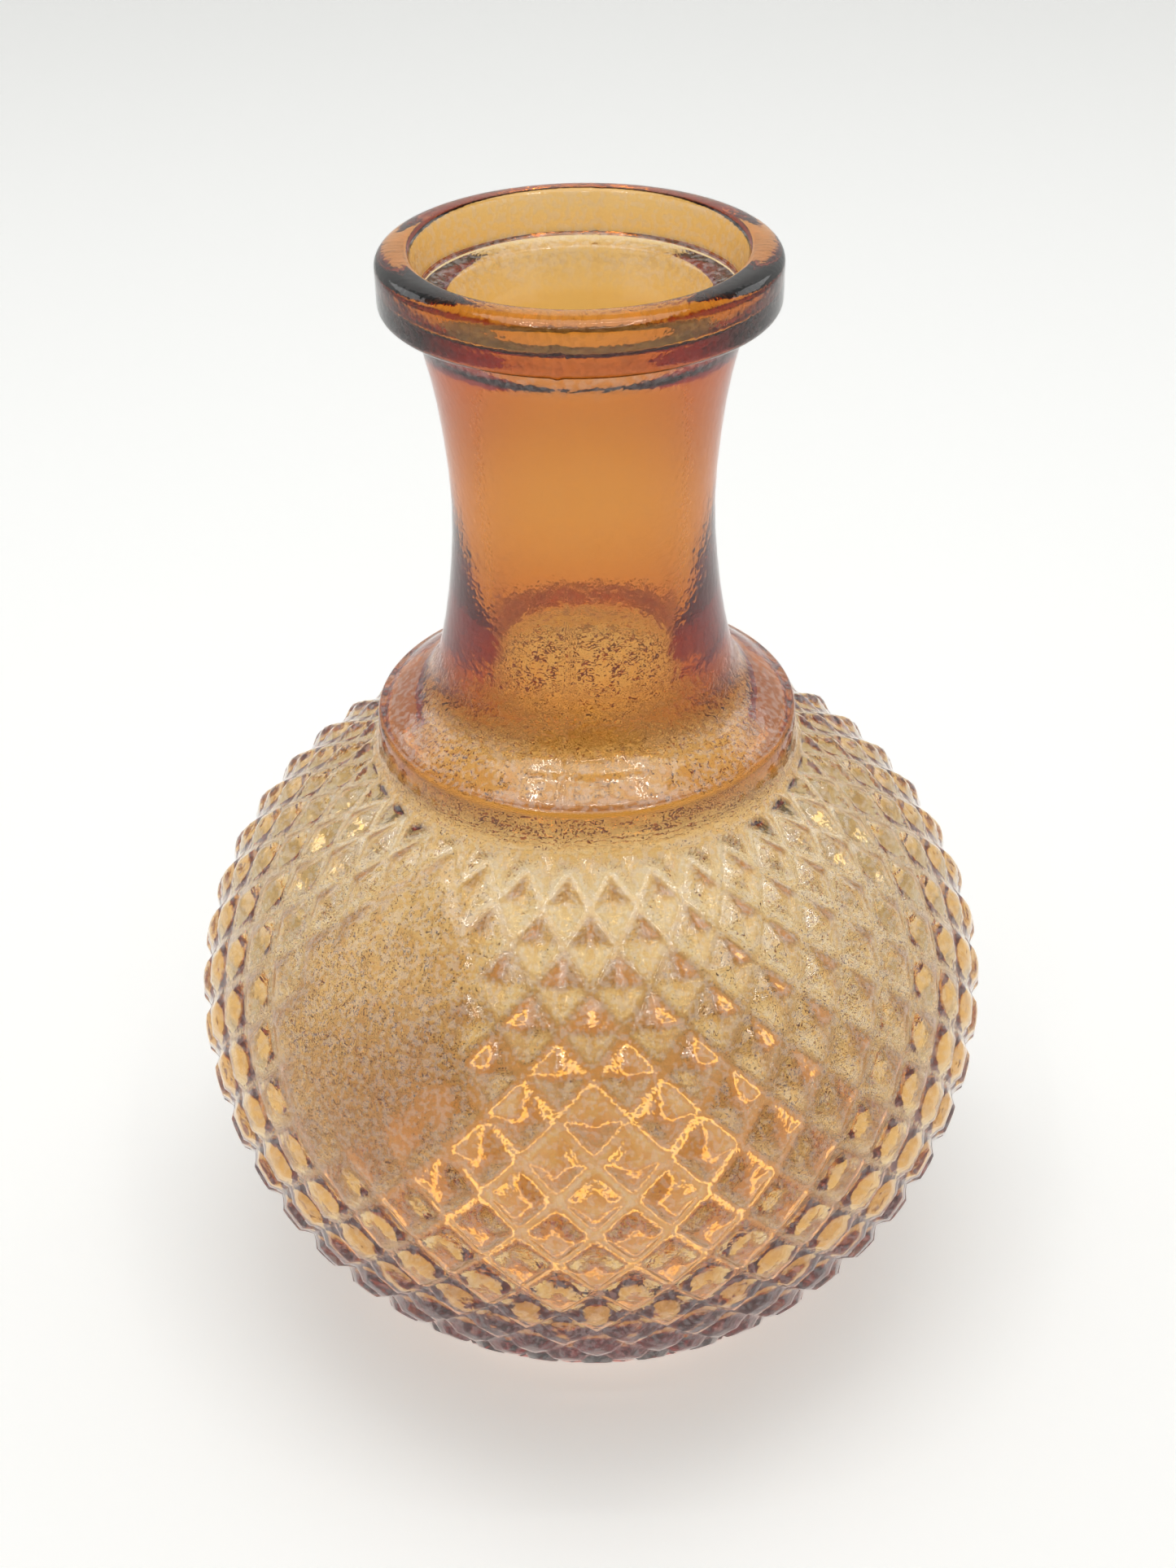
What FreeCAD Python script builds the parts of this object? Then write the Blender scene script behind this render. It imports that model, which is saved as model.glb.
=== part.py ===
import FreeCAD
import Part

import math
import os

# Bottle-shaped bud vase in pressed amber glass: a globe cut all over with diamonds, a flat collar
# on its shoulder, a waisted neck and a banded mouth. The vase is one piece of glass. Here it is
# divided by level planes into the zones that a glassmaker names, so that each is a plain closed
# solid and the hollow inside stays open. Millimetres, +Z up, origin at the middle of the foot.

# ---- driving dimensions -------------------------------------------------------------------
OVERALL_HEIGHT = 155.0
GLOBE_RADIUS = 55.0            # over the tips of the diamonds, at the widest level
GLOBE_CENTRE_HEIGHT = 48.5
GLOBE_HALF_HEIGHT_ABOVE = 45.7  # the globe is an ellipse above and another below its widest level
GLOBE_HALF_HEIGHT_BELOW = 55.4

DIAMOND_COLUMNS = 36
DIAMOND_HALF_ROW_ANGLE = 5.8   # degrees at the globe's centre between one row of points and the next
DIAMOND_FIRST_ROW_ANGLE = 1.3  # the row nearest the widest level
DIAMOND_ROWS_BELOW = 9
DIAMOND_ROWS_ABOVE = 9
DIAMOND_RELIEF = 1.2           # from the valley of a groove to the tip of a diamond
BELLY_TOP_ROW = 4              # rows where the globe's three rings meet
BELLY_BOTTOM_ROW = -4

WALL_AT_BELLY = 2.1            # to the diamonds' tips
FLOOR_RADIUS = 20.0
PUSH_UP_DEPTH = 1.6            # the foot's hollowed middle, so that the vase stands on a ring
PUSH_UP_RADIUS = 19.0
FOOT_OUTER_RADIUS = 25.5

COLLAR_RADIUS = 27.35
COLLAR_BOTTOM = 89.7           # where its side runs into the shoulder's fillet
COLLAR_EDGE_TOP = 94.25
COLLAR_EDGE_ROUND = 1.0
COLLAR_TOP = 96.3              # its top slopes up to the neck's root

NECK_ROOT_RADIUS = 23.1
NECK_ROOT_TOP = 102.0
NECK_WAIST_RADIUS = 16.3
NECK_WAIST_HEIGHT = 123.5
NECK_TOP_RADIUS = 19.8

BORE_RADIUS = 12.5
BORE_TOP = 134.0
THROAT_RADIUS = 15.6           # at the top of the funnel under the seat's ledge
THROAT_LOW_RADIUS = 14.0
THROAT_BOTTOM = 144.5
THROAT_TOP = 149.2
INNER_SHOULDER_RADIUS = 26.0   # where the bore has opened out under the collar

BAND_RADIUS = 23.7
BAND_HEIGHT = 6.9
BAND_EDGE_ROUND = 1.2
SEAT_BOTTOM_RADIUS = 18.8      # the seat is the wide stretch inside the band, over a level ledge
SEAT_TOP_RADIUS = 19.5
SEAT_BOTTOM = 149.6
MOUTH_EDGE_ROUND = 0.9

# ---- sizes that follow --------------------------------------------------------------------
INNER_RADIUS = GLOBE_RADIUS - WALL_AT_BELLY
INNER_HALF_HEIGHT_ABOVE = GLOBE_HALF_HEIGHT_ABOVE - WALL_AT_BELLY
BAND_BOTTOM = OVERALL_HEIGHT - BAND_HEIGHT
FAR = 4.0 * OVERALL_HEIGHT     # larger than the vase, for cutting slabs


def at(radius, height):
    """A point of a turned outline, in the XZ plane."""
    return FreeCAD.Vector(radius, 0, height)


def line(start, end):
    return Part.LineSegment(at(*start), at(*end)).toShape()


def plumb_arc(start, end):
    """The arc that leaves start straight up or down and ends at end."""
    across, along = end[0] - start[0], end[1] - start[1]
    radius = (across**2 + along**2) / (2 * abs(across))
    half_turn = math.asin(abs(along) / radius) / 2
    middle = (
        start[0] + math.copysign(radius * (1 - math.cos(half_turn)), across),
        start[1] + math.copysign(radius * math.sin(half_turn), along),
    )
    return Part.Arc(at(*start), at(*middle), at(*end)).toShape()


def corner_arc(start, end, centre):
    """The short way round centre from start to end."""
    radius = math.dist(start, centre)
    middle = [(start[i] + end[i]) / 2 - centre[i] for i in (0, 1)]
    reach = radius / math.hypot(*middle)
    return Part.Arc(
        at(*start), at(centre[0] + middle[0] * reach, centre[1] + middle[1] * reach), at(*end)
    ).toShape()


def smooth(*points):
    """One smooth curve through the points."""
    curve = Part.BSplineCurve()
    curve.interpolate([at(*p) for p in points])
    return curve.toShape()


def turned(edges):
    """The solid that a closed outline makes when it is turned about the vertical axis."""
    face = Part.Face(Part.Wire(Part.__sortEdges__(edges)))
    return face.revolve(FreeCAD.Vector(0, 0, 0), FreeCAD.Vector(0, 0, 1), 360)


def ellipse_height(radius, half_width, half_height):
    """How far from the widest level an ellipse is where it is radius from the axis."""
    return half_height * math.sqrt(1 - (radius / half_width) ** 2)


def inner_half_height_below():
    """Half height of the lower inner ellipse, which runs out at the edge of the floor."""
    drop = GLOBE_CENTRE_HEIGHT - floor_height()
    return drop / math.sqrt(1 - (FLOOR_RADIUS / INNER_RADIUS) ** 2)


# ---- the globe's diamonds ------------------------------------------------------------------
def globe_point(row, tip):
    """Radius and height of the globe's surface at a row of diamond points: at a tip or in a valley."""
    angle = math.radians(DIAMOND_FIRST_ROW_ANGLE + row * DIAMOND_HALF_ROW_ANGLE)
    half_height = GLOBE_HALF_HEIGHT_ABOVE if angle > 0 else GLOBE_HALF_HEIGHT_BELOW
    reach = 1 / math.hypot(math.cos(angle) / GLOBE_RADIUS, math.sin(angle) / half_height)
    radius, height = reach * math.cos(angle), GLOBE_CENTRE_HEIGHT + reach * math.sin(angle)
    return (radius if tip else radius - DIAMOND_RELIEF), height


def floor_height():
    """The globe's floor is level with its lowest row of diamond points."""
    return globe_point(-DIAMOND_ROWS_BELOW, True)[1]


def ring_of_points(row):
    """One level row: tips and valleys by turns, staggered from row to row. Even places are tips."""
    points = []
    for place in range(2 * DIAMOND_COLUMNS):
        radius, height = globe_point(row, place % 2 == 0)
        turn = math.pi * (place + row % 2) / DIAMOND_COLUMNS
        points.append(FreeCAD.Vector(radius * math.cos(turn), radius * math.sin(turn), height))
    return points


def triangle(a, b, c):
    return Part.Face(Part.makePolygon([a, b, c, a]))


def diamond_rows(low_row, high_row):
    """A closed solid block between two level rows, with a four-sided pyramid on every diamond."""
    rings = {row: ring_of_points(row) for row in range(low_row, high_row + 1)}
    places = 2 * DIAMOND_COLUMNS
    faces = []
    for row in range(low_row, high_row):
        low, high = rings[row], rings[row + 1]
        shift = 1 if row % 2 == 0 else -1  # a row's valleys stand over the tips of the row below
        for tip in range(0, places, 2):
            over = (tip - shift) % places
            for side in (1, -1):
                faces.append(triangle(low[tip], low[(tip + side) % places], high[over]))
            for side in (1, -1):
                under = (tip + shift) % places
                faces.append(triangle(high[tip], high[(tip + side) % places], low[under]))
    for row in (low_row, high_row):
        outline = rings[row] + rings[row][:1]
        faces.append(Part.Face(Part.makePolygon(outline)))
    shell = Part.Shell(faces)
    shell.sewShape()
    return Part.Solid(Part.Shell(shell.Faces))


# ---- the outsides and the hollow -----------------------------------------------------------
def hollow():
    """Everything inside the vase, from its floor up through the neck and out of the mouth."""
    floor = floor_height()
    widest = GLOBE_CENTRE_HEIGHT
    below = inner_half_height_below()
    shoulder_height = widest + ellipse_height(
        INNER_SHOULDER_RADIUS, INNER_RADIUS, INNER_HALF_HEIGHT_ABOVE
    )
    mid = INNER_RADIUS * math.cos(math.radians(30))
    above_mouth = OVERALL_HEIGHT + BAND_HEIGHT
    seat_top = OVERALL_HEIGHT - MOUTH_EDGE_ROUND
    mouth_edge = SEAT_TOP_RADIUS + MOUTH_EDGE_ROUND
    lower_mid = (mid, widest - ellipse_height(mid, INNER_RADIUS, below))
    upper_mid = (mid, widest + ellipse_height(mid, INNER_RADIUS, INNER_HALF_HEIGHT_ABOVE))
    lower = Part.Ellipse(at(INNER_RADIUS, widest), at(0, widest - below), at(0, widest))
    if below > INNER_RADIUS:
        raise ValueError("the lower inner ellipse has to be wider than it is tall")
    upper = Part.Ellipse(
        at(INNER_RADIUS, widest), at(0, widest + INNER_HALF_HEIGHT_ABOVE), at(0, widest)
    )
    lower_wall = arc_of(lower, (FLOOR_RADIUS, floor), lower_mid, (INNER_RADIUS, widest))
    upper_wall = arc_of(
        upper, (INNER_RADIUS, widest), upper_mid, (INNER_SHOULDER_RADIUS, shoulder_height)
    )
    return turned(
        [
            line((0, floor), (FLOOR_RADIUS, floor)),
            lower_wall,
            upper_wall,
            smooth(*inner_bell(), (INNER_SHOULDER_RADIUS, shoulder_height)),
            line((BORE_RADIUS, NECK_ROOT_TOP), (BORE_RADIUS, BORE_TOP)),
            plumb_arc((BORE_RADIUS, BORE_TOP), (THROAT_LOW_RADIUS, THROAT_BOTTOM)),
            line((THROAT_LOW_RADIUS, THROAT_BOTTOM), (THROAT_RADIUS, THROAT_TOP)),
            line((THROAT_RADIUS, THROAT_TOP), (SEAT_BOTTOM_RADIUS, SEAT_BOTTOM)),
            line((SEAT_BOTTOM_RADIUS, SEAT_BOTTOM), (SEAT_TOP_RADIUS, seat_top)),
            corner_arc(
                (SEAT_TOP_RADIUS, seat_top), (mouth_edge, OVERALL_HEIGHT), (mouth_edge, seat_top)
            ),
            line((mouth_edge, OVERALL_HEIGHT), (mouth_edge, above_mouth)),
            line((mouth_edge, above_mouth), (0, above_mouth)),
            line((0, above_mouth), (0, floor)),
        ]
    )


def inner_bell():
    """Points where the blown bore opens out under the collar, at an even wall."""
    return [
        (BORE_RADIUS, NECK_ROOT_TOP),
        (BORE_RADIUS + 0.9, NECK_ROOT_TOP - 2.6),
        (BORE_RADIUS + 3.6, NECK_ROOT_TOP - 5.4),
        (BORE_RADIUS + 7.3, NECK_ROOT_TOP - 8.2),
        (BORE_RADIUS + 10.6, NECK_ROOT_TOP - 11.6),
    ]


def arc_of(ellipse, start, middle, end):
    """The stretch of an ellipse from start to end that passes through middle."""
    first, last = (ellipse.parameter(at(*p)) for p in (start, end))
    half = ellipse.parameter(at(*middle))
    if first > last:
        first, last = last, first
    if not first < half < last:
        first, last = last, first + 2 * math.pi
    return Part.Edge(ellipse, first, last)


def outside_above_globe():
    """The outside from the shoulder up: collar, neck and mouth band, as one turned solid."""
    shoulder = globe_point(DIAMOND_ROWS_ABOVE, True)
    fillet = (
        COLLAR_RADIUS + 0.3 * (shoulder[0] - COLLAR_RADIUS),
        COLLAR_BOTTOM + 0.6 * (shoulder[1] - COLLAR_BOTTOM),
    )
    edge = COLLAR_RADIUS - COLLAR_EDGE_ROUND
    band_edge = BAND_RADIUS - BAND_EDGE_ROUND
    high_round = (COLLAR_RADIUS, COLLAR_EDGE_TOP - COLLAR_EDGE_ROUND)
    band_low = (BAND_RADIUS, BAND_BOTTOM + BAND_EDGE_ROUND)
    band_high = (BAND_RADIUS, OVERALL_HEIGHT - BAND_EDGE_ROUND)
    return turned(
        [
            line((0, shoulder[1]), shoulder),
            smooth(shoulder, fillet, (COLLAR_RADIUS, COLLAR_BOTTOM)),
            line((COLLAR_RADIUS, COLLAR_BOTTOM), high_round),
            corner_arc(high_round, (edge, COLLAR_EDGE_TOP), (edge, high_round[1])),
            line((edge, COLLAR_EDGE_TOP), (NECK_ROOT_RADIUS, COLLAR_TOP)),
            neck_outline(),
            line((NECK_TOP_RADIUS, BAND_BOTTOM), (band_edge, BAND_BOTTOM)),
            corner_arc((band_edge, BAND_BOTTOM), band_low, (band_edge, band_low[1])),
            line(band_low, band_high),
            corner_arc(band_high, (band_edge, OVERALL_HEIGHT), (band_edge, band_high[1])),
            line((band_edge, OVERALL_HEIGHT), (0, OVERALL_HEIGHT)),
            line((0, OVERALL_HEIGHT), (0, shoulder[1])),
        ]
    )


def neck_outline():
    """The waisted outside of the neck, from its root on the collar to the band."""
    root_foot = (NECK_ROOT_RADIUS - 1.9, COLLAR_TOP + 1.2)
    root_bend = (NECK_WAIST_RADIUS + 2.9, COLLAR_TOP + 4.6)
    foot_of_waist = (NECK_WAIST_RADIUS + 0.9, NECK_WAIST_HEIGHT - 12.5)
    flare = (NECK_WAIST_RADIUS + 1.2, NECK_WAIST_HEIGHT + 13.5)
    return smooth(
        (NECK_ROOT_RADIUS, COLLAR_TOP),
        root_foot,
        root_bend,
        foot_of_waist,
        (NECK_WAIST_RADIUS, NECK_WAIST_HEIGHT),
        flare,
        (NECK_TOP_RADIUS, BAND_BOTTOM),
    )


def between(solid, low, high):
    """The part of a solid between two heights."""
    slab = Part.makeBox(FAR, FAR, high - low, FreeCAD.Vector(-FAR / 2, -FAR / 2, low))
    return solid.common(slab)


# ---- the zones, from the foot up -----------------------------------------------------------
def base_disc():
    """The foot: it stands on a flat ring, and its middle is pushed up."""
    heel, top = globe_point(-DIAMOND_ROWS_BELOW, False)
    heel_bulge = (FOOT_OUTER_RADIUS + 0.62 * (heel - FOOT_OUTER_RADIUS), 0.3 * top)
    crown = (PUSH_UP_RADIUS / 2, 0.75 * PUSH_UP_DEPTH)
    dome = Part.Arc(
        at(-crown[0], crown[1]), at(0, PUSH_UP_DEPTH), at(*crown)
    )
    dome_edge = Part.Edge(dome.toShape().Curve, *half_of(dome))
    return turned(
        [
            dome_edge,
            smooth(crown, (0.85 * PUSH_UP_RADIUS, 0.22 * PUSH_UP_DEPTH), (PUSH_UP_RADIUS, 0)),
            line((PUSH_UP_RADIUS, 0), (FOOT_OUTER_RADIUS, 0)),
            smooth((FOOT_OUTER_RADIUS, 0), heel_bulge, (heel, top)),
            line((heel, top), (0, top)),
            line((0, top), (0, PUSH_UP_DEPTH)),
        ]
    )


def half_of(arc):
    """The parameters of an arc's second half."""
    edge = arc.toShape()
    first, last = edge.ParameterRange
    return (first + last) / 2, last


def zones():
    """Every zone of the glass by name, from the foot up."""
    inside = hollow()
    above = outside_above_globe().cut(inside)
    shoulder_height = globe_point(DIAMOND_ROWS_ABOVE, True)[1]
    return {
        "base_disc": base_disc(),
        "globe_heel": diamond_rows(-DIAMOND_ROWS_BELOW, BELLY_BOTTOM_ROW).cut(inside),
        "globe_belly": diamond_rows(BELLY_BOTTOM_ROW, BELLY_TOP_ROW).cut(inside),
        "globe_shoulder": diamond_rows(BELLY_TOP_ROW, DIAMOND_ROWS_ABOVE).cut(inside),
        "collar_ring": between(above, shoulder_height, COLLAR_TOP),
        "neck_root": between(above, COLLAR_TOP, NECK_ROOT_TOP),
        "neck_tube": between(above, NECK_ROOT_TOP, BAND_BOTTOM),
        "lip_band": between(above, BAND_BOTTOM, OVERALL_HEIGHT),
    }


def main():
    os.makedirs("parts", exist_ok=True)
    for name, solid in zones().items():
        if len(solid.Solids) != 1 or not solid.isValid():
            raise ValueError(f"{name} is not one valid solid")
        box = solid.BoundBox
        print(
            f"{name}: {len(solid.Faces)} faces, {solid.Volume / 1000:.2f} cm3, "
            f"radius {box.XMax:.2f}, z {box.ZMin:.3f} to {box.ZMax:.3f}"
        )
        solid.Solids[0].exportStep(f"parts/{name}.step")


main()
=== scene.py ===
import math

import bpy
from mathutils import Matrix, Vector


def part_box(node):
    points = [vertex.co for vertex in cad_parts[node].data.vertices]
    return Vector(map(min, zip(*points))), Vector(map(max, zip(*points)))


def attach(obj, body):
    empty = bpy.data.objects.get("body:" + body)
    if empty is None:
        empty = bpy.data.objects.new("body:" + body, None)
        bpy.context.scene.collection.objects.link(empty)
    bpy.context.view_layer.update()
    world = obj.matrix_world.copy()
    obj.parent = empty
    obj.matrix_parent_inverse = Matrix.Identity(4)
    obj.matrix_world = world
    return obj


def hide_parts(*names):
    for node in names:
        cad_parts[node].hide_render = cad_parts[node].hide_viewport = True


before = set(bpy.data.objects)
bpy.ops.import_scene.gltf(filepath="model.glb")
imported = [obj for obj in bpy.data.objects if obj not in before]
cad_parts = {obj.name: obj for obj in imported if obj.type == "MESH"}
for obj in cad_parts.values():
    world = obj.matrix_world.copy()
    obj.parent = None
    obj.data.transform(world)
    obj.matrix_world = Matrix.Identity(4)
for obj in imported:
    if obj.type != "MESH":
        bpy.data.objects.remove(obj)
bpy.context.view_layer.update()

# A bottle-shaped bud vase in amber glass, pressed and blown in one piece: a globe covered in
# diamonds, a flat collar on its shoulder, a waisted neck and a thick band round the mouth.
# Metres, +Z up, origin at the middle of the foot. The sizes of the zones come from the frame.

bl_info = {
    "name": "Amber bud vase",
    "version": (1, 0, 0),
    "blender": (4, 5, 0),
    "location": "3D View > Sidebar > Bud vase",
    "description": "Presses a diamond-cut bud vase in amber glass and sets its stage",
    "category": "Add Mesh",
}

MM = 0.001
DEG = math.radians(1)
ZONES = (
    "base_disc", "globe_heel", "globe_belly", "globe_shoulder",
    "collar_ring", "neck_root", "neck_tube", "lip_band",
)  # fmt: skip

# Sockets of the Mix node that share a name with others, when it mixes colours.
MIX_COLOUR_A, MIX_COLOUR_B, MIX_COLOUR_RESULT = 6, 7, 2

LIP_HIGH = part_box("lip_band")[1]
BAND_LOW_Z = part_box("lip_band")[0].z
NECK_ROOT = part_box("neck_root")
COLLAR_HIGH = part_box("collar_ring")[1]
GLOBE_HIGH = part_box("globe_belly")[1]

# How matt the skin is in each place, and how much of the light the pale layer holds back. It is
# partly a real satin mould skin and partly painted reflection: a white veil standing in for the
# overhead light mirrored on upward faces.
GLOBE_SKIN_AND_SHEEN, SHOULDER_SKIN_AND_SHEEN, LEDGE_SKIN_AND_SHEEN, MOUTH_SKIN_AND_SHEEN, ELSEWHERE_SKIN_AND_SHEEN = 0.9, 0.4, 1.3, 1.2, 0.03
HAZE_AND_SHEEN_EVEN, HAZE_AND_SHEEN_GRAIN = 0.035, 0.13
# How strongly the chill marks show in the neck's root and on the globe, next to the peel.
WRINKLES_ROOT, WRINKLES_GLOBE = 5.0, 1.2

# The patch of weak diamonds: its middle, in turns and in rows, and half its width and height.
PATCH_TURN, PATCH_ROW = 0.75 - 35.0 / 360, 4.6
PATCH_COLUMNS, PATCH_ROWS = 1.7, 4.4

# The light tent: how bright its ceiling and its walls are, and how dark the camera's opening is.
CEILING, WALLS, OPENING_DIMMING = 0.12, 0.55, 0.9
WALL_FULL, WALL_GONE = 30 * DEG, 52 * DEG
OPENING_EDGE, OPENING_FULL = 44 * DEG, 28 * DEG

# The lamps, in metres, all facing the middle of the vase.
VASE_MIDDLE = (0.0, 0.0, 0.1)
SIDE_BOX_PLACE, SIDE_BOX_SIZE, SIDE_BOX_RADIANCE = (0.62, 0.45, 0.62), 0.34, 1.2
TOP_BOX_PLACE, TOP_BOX_SIZE, TOP_BOX_RADIANCE = (0.0, -0.05, 0.95), (0.85, 0.75), 1.9
FRAME_PLACE, FRAME_SIZE = (0.0, -0.22, 0.78), (0.46, 0.42)
TUBE_WIDTH, TUBE_RADIANCE = 0.010, 22.0
LIGHT_BOUNCES = 32


# ---- sizes and colours that a user would change ----------------------------------------------
def length(name, description, default):
    return bpy.props.FloatProperty(
        name=name, description=description, default=default, min=0.0, unit="LENGTH", precision=5
    )


class VaseForm(bpy.types.PropertyGroup):
    """The turned outline of the glass, outside and inside."""

    globe_radius: length("Globe radius", "Over the tips of the diamonds", GLOBE_HIGH.x)
    globe_centre: length("Widest level", "Height of the globe's widest level", 48.5 * MM)
    globe_above: length("Half height above", "Of the globe, over its widest level", 45.7 * MM)
    globe_below: length("Half height below", "Of the globe, under its widest level", 55.4 * MM)
    globe_wall: length("Globe wall", "From the diamonds' tips to the hollow", 1.95 * MM)
    foot_ring: length("Foot ring radius", "Outer radius of the ring it stands on", 25.5 * MM)
    push_up: length("Push-up", "How far the middle of the foot is raised", 1.6 * MM)
    push_up_radius: length("Push-up radius", "Radius of the raised middle", 19.0 * MM)
    floor_radius: length("Floor radius", "Radius of the level floor inside", 20.0 * MM)
    floor_height: length("Floor height", "Height of the level floor inside", 3.9 * MM)
    collar_radius: length("Collar radius", "Of the collar's upright side", 27.35 * MM)
    collar_bottom: length("Collar bottom", "Where its side runs into its fillet", 89.7 * MM)
    collar_edge: length("Collar edge height", "Height of the collar's upper edge", 94.25 * MM)
    collar_round: length("Collar edge rounding", "Rounding of its upper edge", 1.0 * MM)
    waist_radius: length("Waist radius", "Outer radius of the neck's waist", 16.3 * MM)
    waist_height: length("Waist height", "Height of the neck's waist", 123.5 * MM)
    neck_top_radius: length("Neck top radius", "Outer radius under the band", 19.8 * MM)
    band_round: length("Band edge", "Rounding of the band's lower edge", 1.2 * MM)
    band_dome: length("Band dome", "How far in its domed top reaches", 2.4 * MM)
    mouth_round: length("Mouth edge", "Rounding of the mouth's inner edge", 0.9 * MM)
    seat_top: length("Seat top radius", "Inner radius at the top of the seat", 19.5 * MM)
    seat_bottom: length("Seat bottom radius", "Inner radius at the bottom of the seat", 18.8 * MM)
    seat_height: length("Seat height", "Height of the ledge under the seat", 149.6 * MM)
    throat_radius: length("Throat radius", "At the top of the funnel under the ledge", 15.6 * MM)
    throat_low_radius: length("Throat low radius", "At the bottom of the funnel", 14.0 * MM)
    throat_top: length("Throat top", "Height of the throat's upper edge", 149.2 * MM)
    throat_bottom: length("Throat bottom", "Height of the throat's lower edge", 144.5 * MM)
    bore_radius: length("Bore radius", "Of the neck's straight bore", 12.5 * MM)
    bore_top: length("Bore top", "Where the bore starts to open upwards", 134.0 * MM)
    shoulder_inside: length("Inner shoulder", "Radius where the bore has opened out", 26.0 * MM)


class VaseDiamonds(bpy.types.PropertyGroup):
    """The diamonds that the mould presses on the globe."""

    columns: bpy.props.IntProperty(
        name="Columns", description="Diamonds round the globe", default=36, min=3
    )
    rows_above: bpy.props.IntProperty(
        name="Half rows above", description="Rows of corners over the widest level", default=9
    )
    rows_below: bpy.props.IntProperty(
        name="Half rows below", description="Rows of corners under the widest level", default=9
    )
    row_step: bpy.props.FloatProperty(
        name="Row step", description="Angle from one row of corners to the next", subtype="ANGLE",
        default=5.8 * DEG,
    )  # fmt: skip
    first_row: bpy.props.FloatProperty(
        name="First row", description="Angle of the row nearest the widest level",
        subtype="ANGLE", default=1.3 * DEG,
    )  # fmt: skip
    steps: bpy.props.IntProperty(
        name="Steps", description="Mesh rows in each half row of diamonds", default=8, min=2
    )
    relief: length("Relief", "From a groove's bottom to a diamond's tip", 1.18 * MM)
    seam_height: length("Seam height", "Of the two upright mould seams", 0.2 * MM)
    seam_turn: bpy.props.FloatProperty(
        name="Seam turn", description="Turn of the mould seams from the front", subtype="ANGLE",
        default=-6.5 * DEG,
    )  # fmt: skip
    ripple: length("Ripple", "Unevenness of the blown wall inside", 0.16 * MM)
    seed: bpy.props.IntProperty(name="Seed", description="Of the glass's unevenness", default=4)


class VaseGlass(bpy.types.PropertyGroup):
    """The amber glass."""

    peel: length("Peel", "Size of the grain that the mould leaves on the skin", 0.8 * MM)
    chill: length("Chill marks", "Size of the wrinkles where the glass met a cool mould", 2.0 * MM)
    tint: bpy.props.StringProperty(
        name="Tint", description="Colour left in white light by the glass, as sRGB hex",
        default="F2D03C",
    )  # fmt: skip
    depth: bpy.props.FloatProperty(
        name="Depth of colour", description="Absorption of each metre of glass", default=440.0
    )
    ior: bpy.props.FloatProperty(name="IOR", description="Refraction of soda glass", default=1.52)
    roughness: bpy.props.FloatProperty(
        name="Roughness", description="Of the fire-polished surface", default=0.03
    )


class VaseStage(bpy.types.PropertyGroup):
    """The floor, the lights and the camera."""

    paper: bpy.props.StringProperty(
        name="Paper", description="Colour of the floor and backdrop, as sRGB hex", default="F6F6F4"
    )
    backlight: bpy.props.FloatProperty(
        name="Backlight", description="How strongly the floor is lit from below", default=0.30
    )
    # Painted caustic: colour, reach and strength of an emission patch on the floor under the foot.
    glow: bpy.props.StringProperty(
        name="Glow", description="Colour of the added light under the foot, as sRGB hex",
        default="FFF8F0",
    )  # fmt: skip
    glow_radius: length("Glow radius", "How far the added light reaches", 50 * MM)
    glow_core: length("Glow core", "Within it the added light is full", 20 * MM)
    glow_strength: bpy.props.FloatProperty(
        name="Glow strength", description="Of the added light under the foot", default=0.30
    )
    distance: length("Camera distance", "From the vase's axis, level", 232.1 * MM)
    height: length("Camera height", "Over the floor", 237.6 * MM)
    pitch: bpy.props.FloatProperty(
        name="Camera pitch", description="How far it looks down", subtype="ANGLE",
        default=34.18 * DEG,
    )  # fmt: skip
    roll: bpy.props.FloatProperty(
        name="Camera roll", description="Lean of the picture", subtype="ANGLE",
        default=-0.93 * DEG,
    )  # fmt: skip
    focal_heights: bpy.props.FloatProperty(
        name="Focal length", description="In heights of the picture", default=1.3233
    )


# ---- small helpers ---------------------------------------------------------------------------
def hex_colour(text):
    """An sRGB hex colour as linear red, green, blue and alpha."""
    channels = [int(text[i : i + 2], 16) / 255 for i in (0, 2, 4)]
    return [c / 12.92 if c <= 0.04045 else ((c + 0.055) / 1.055) ** 2.4 for c in channels] + [1]


def node(tree, kind, links=None, **settings):
    """Adds a node. Settings name its properties, links its inputs by name or number."""
    new = tree.nodes.new(kind)
    for name, value in settings.items():
        setattr(new, name, value)
    for key, value in (links or {}).items():
        if isinstance(value, bpy.types.NodeSocket):
            tree.links.new(value, new.inputs[key])
        else:
            new.inputs[key].default_value = value
    return new


class Sums:
    """Arithmetic in a node tree: each call adds one Math node and gives its output."""

    def __init__(self, tree):
        self.tree = tree

    def __call__(self, operation, *values):
        links = dict(enumerate(values))
        return node(self.tree, "ShaderNodeMath", links, operation=operation).outputs[0]

    def smooth(self, value, low, high):
        """0 below low and 1 above high, with a smooth rise between."""
        ramp = node(
            self.tree, "ShaderNodeMapRange",
            {"Value": value, "From Min": low, "From Max": high},
            interpolation_type="SMOOTHSTEP",
        )  # fmt: skip
        return ramp.outputs["Result"]


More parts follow.
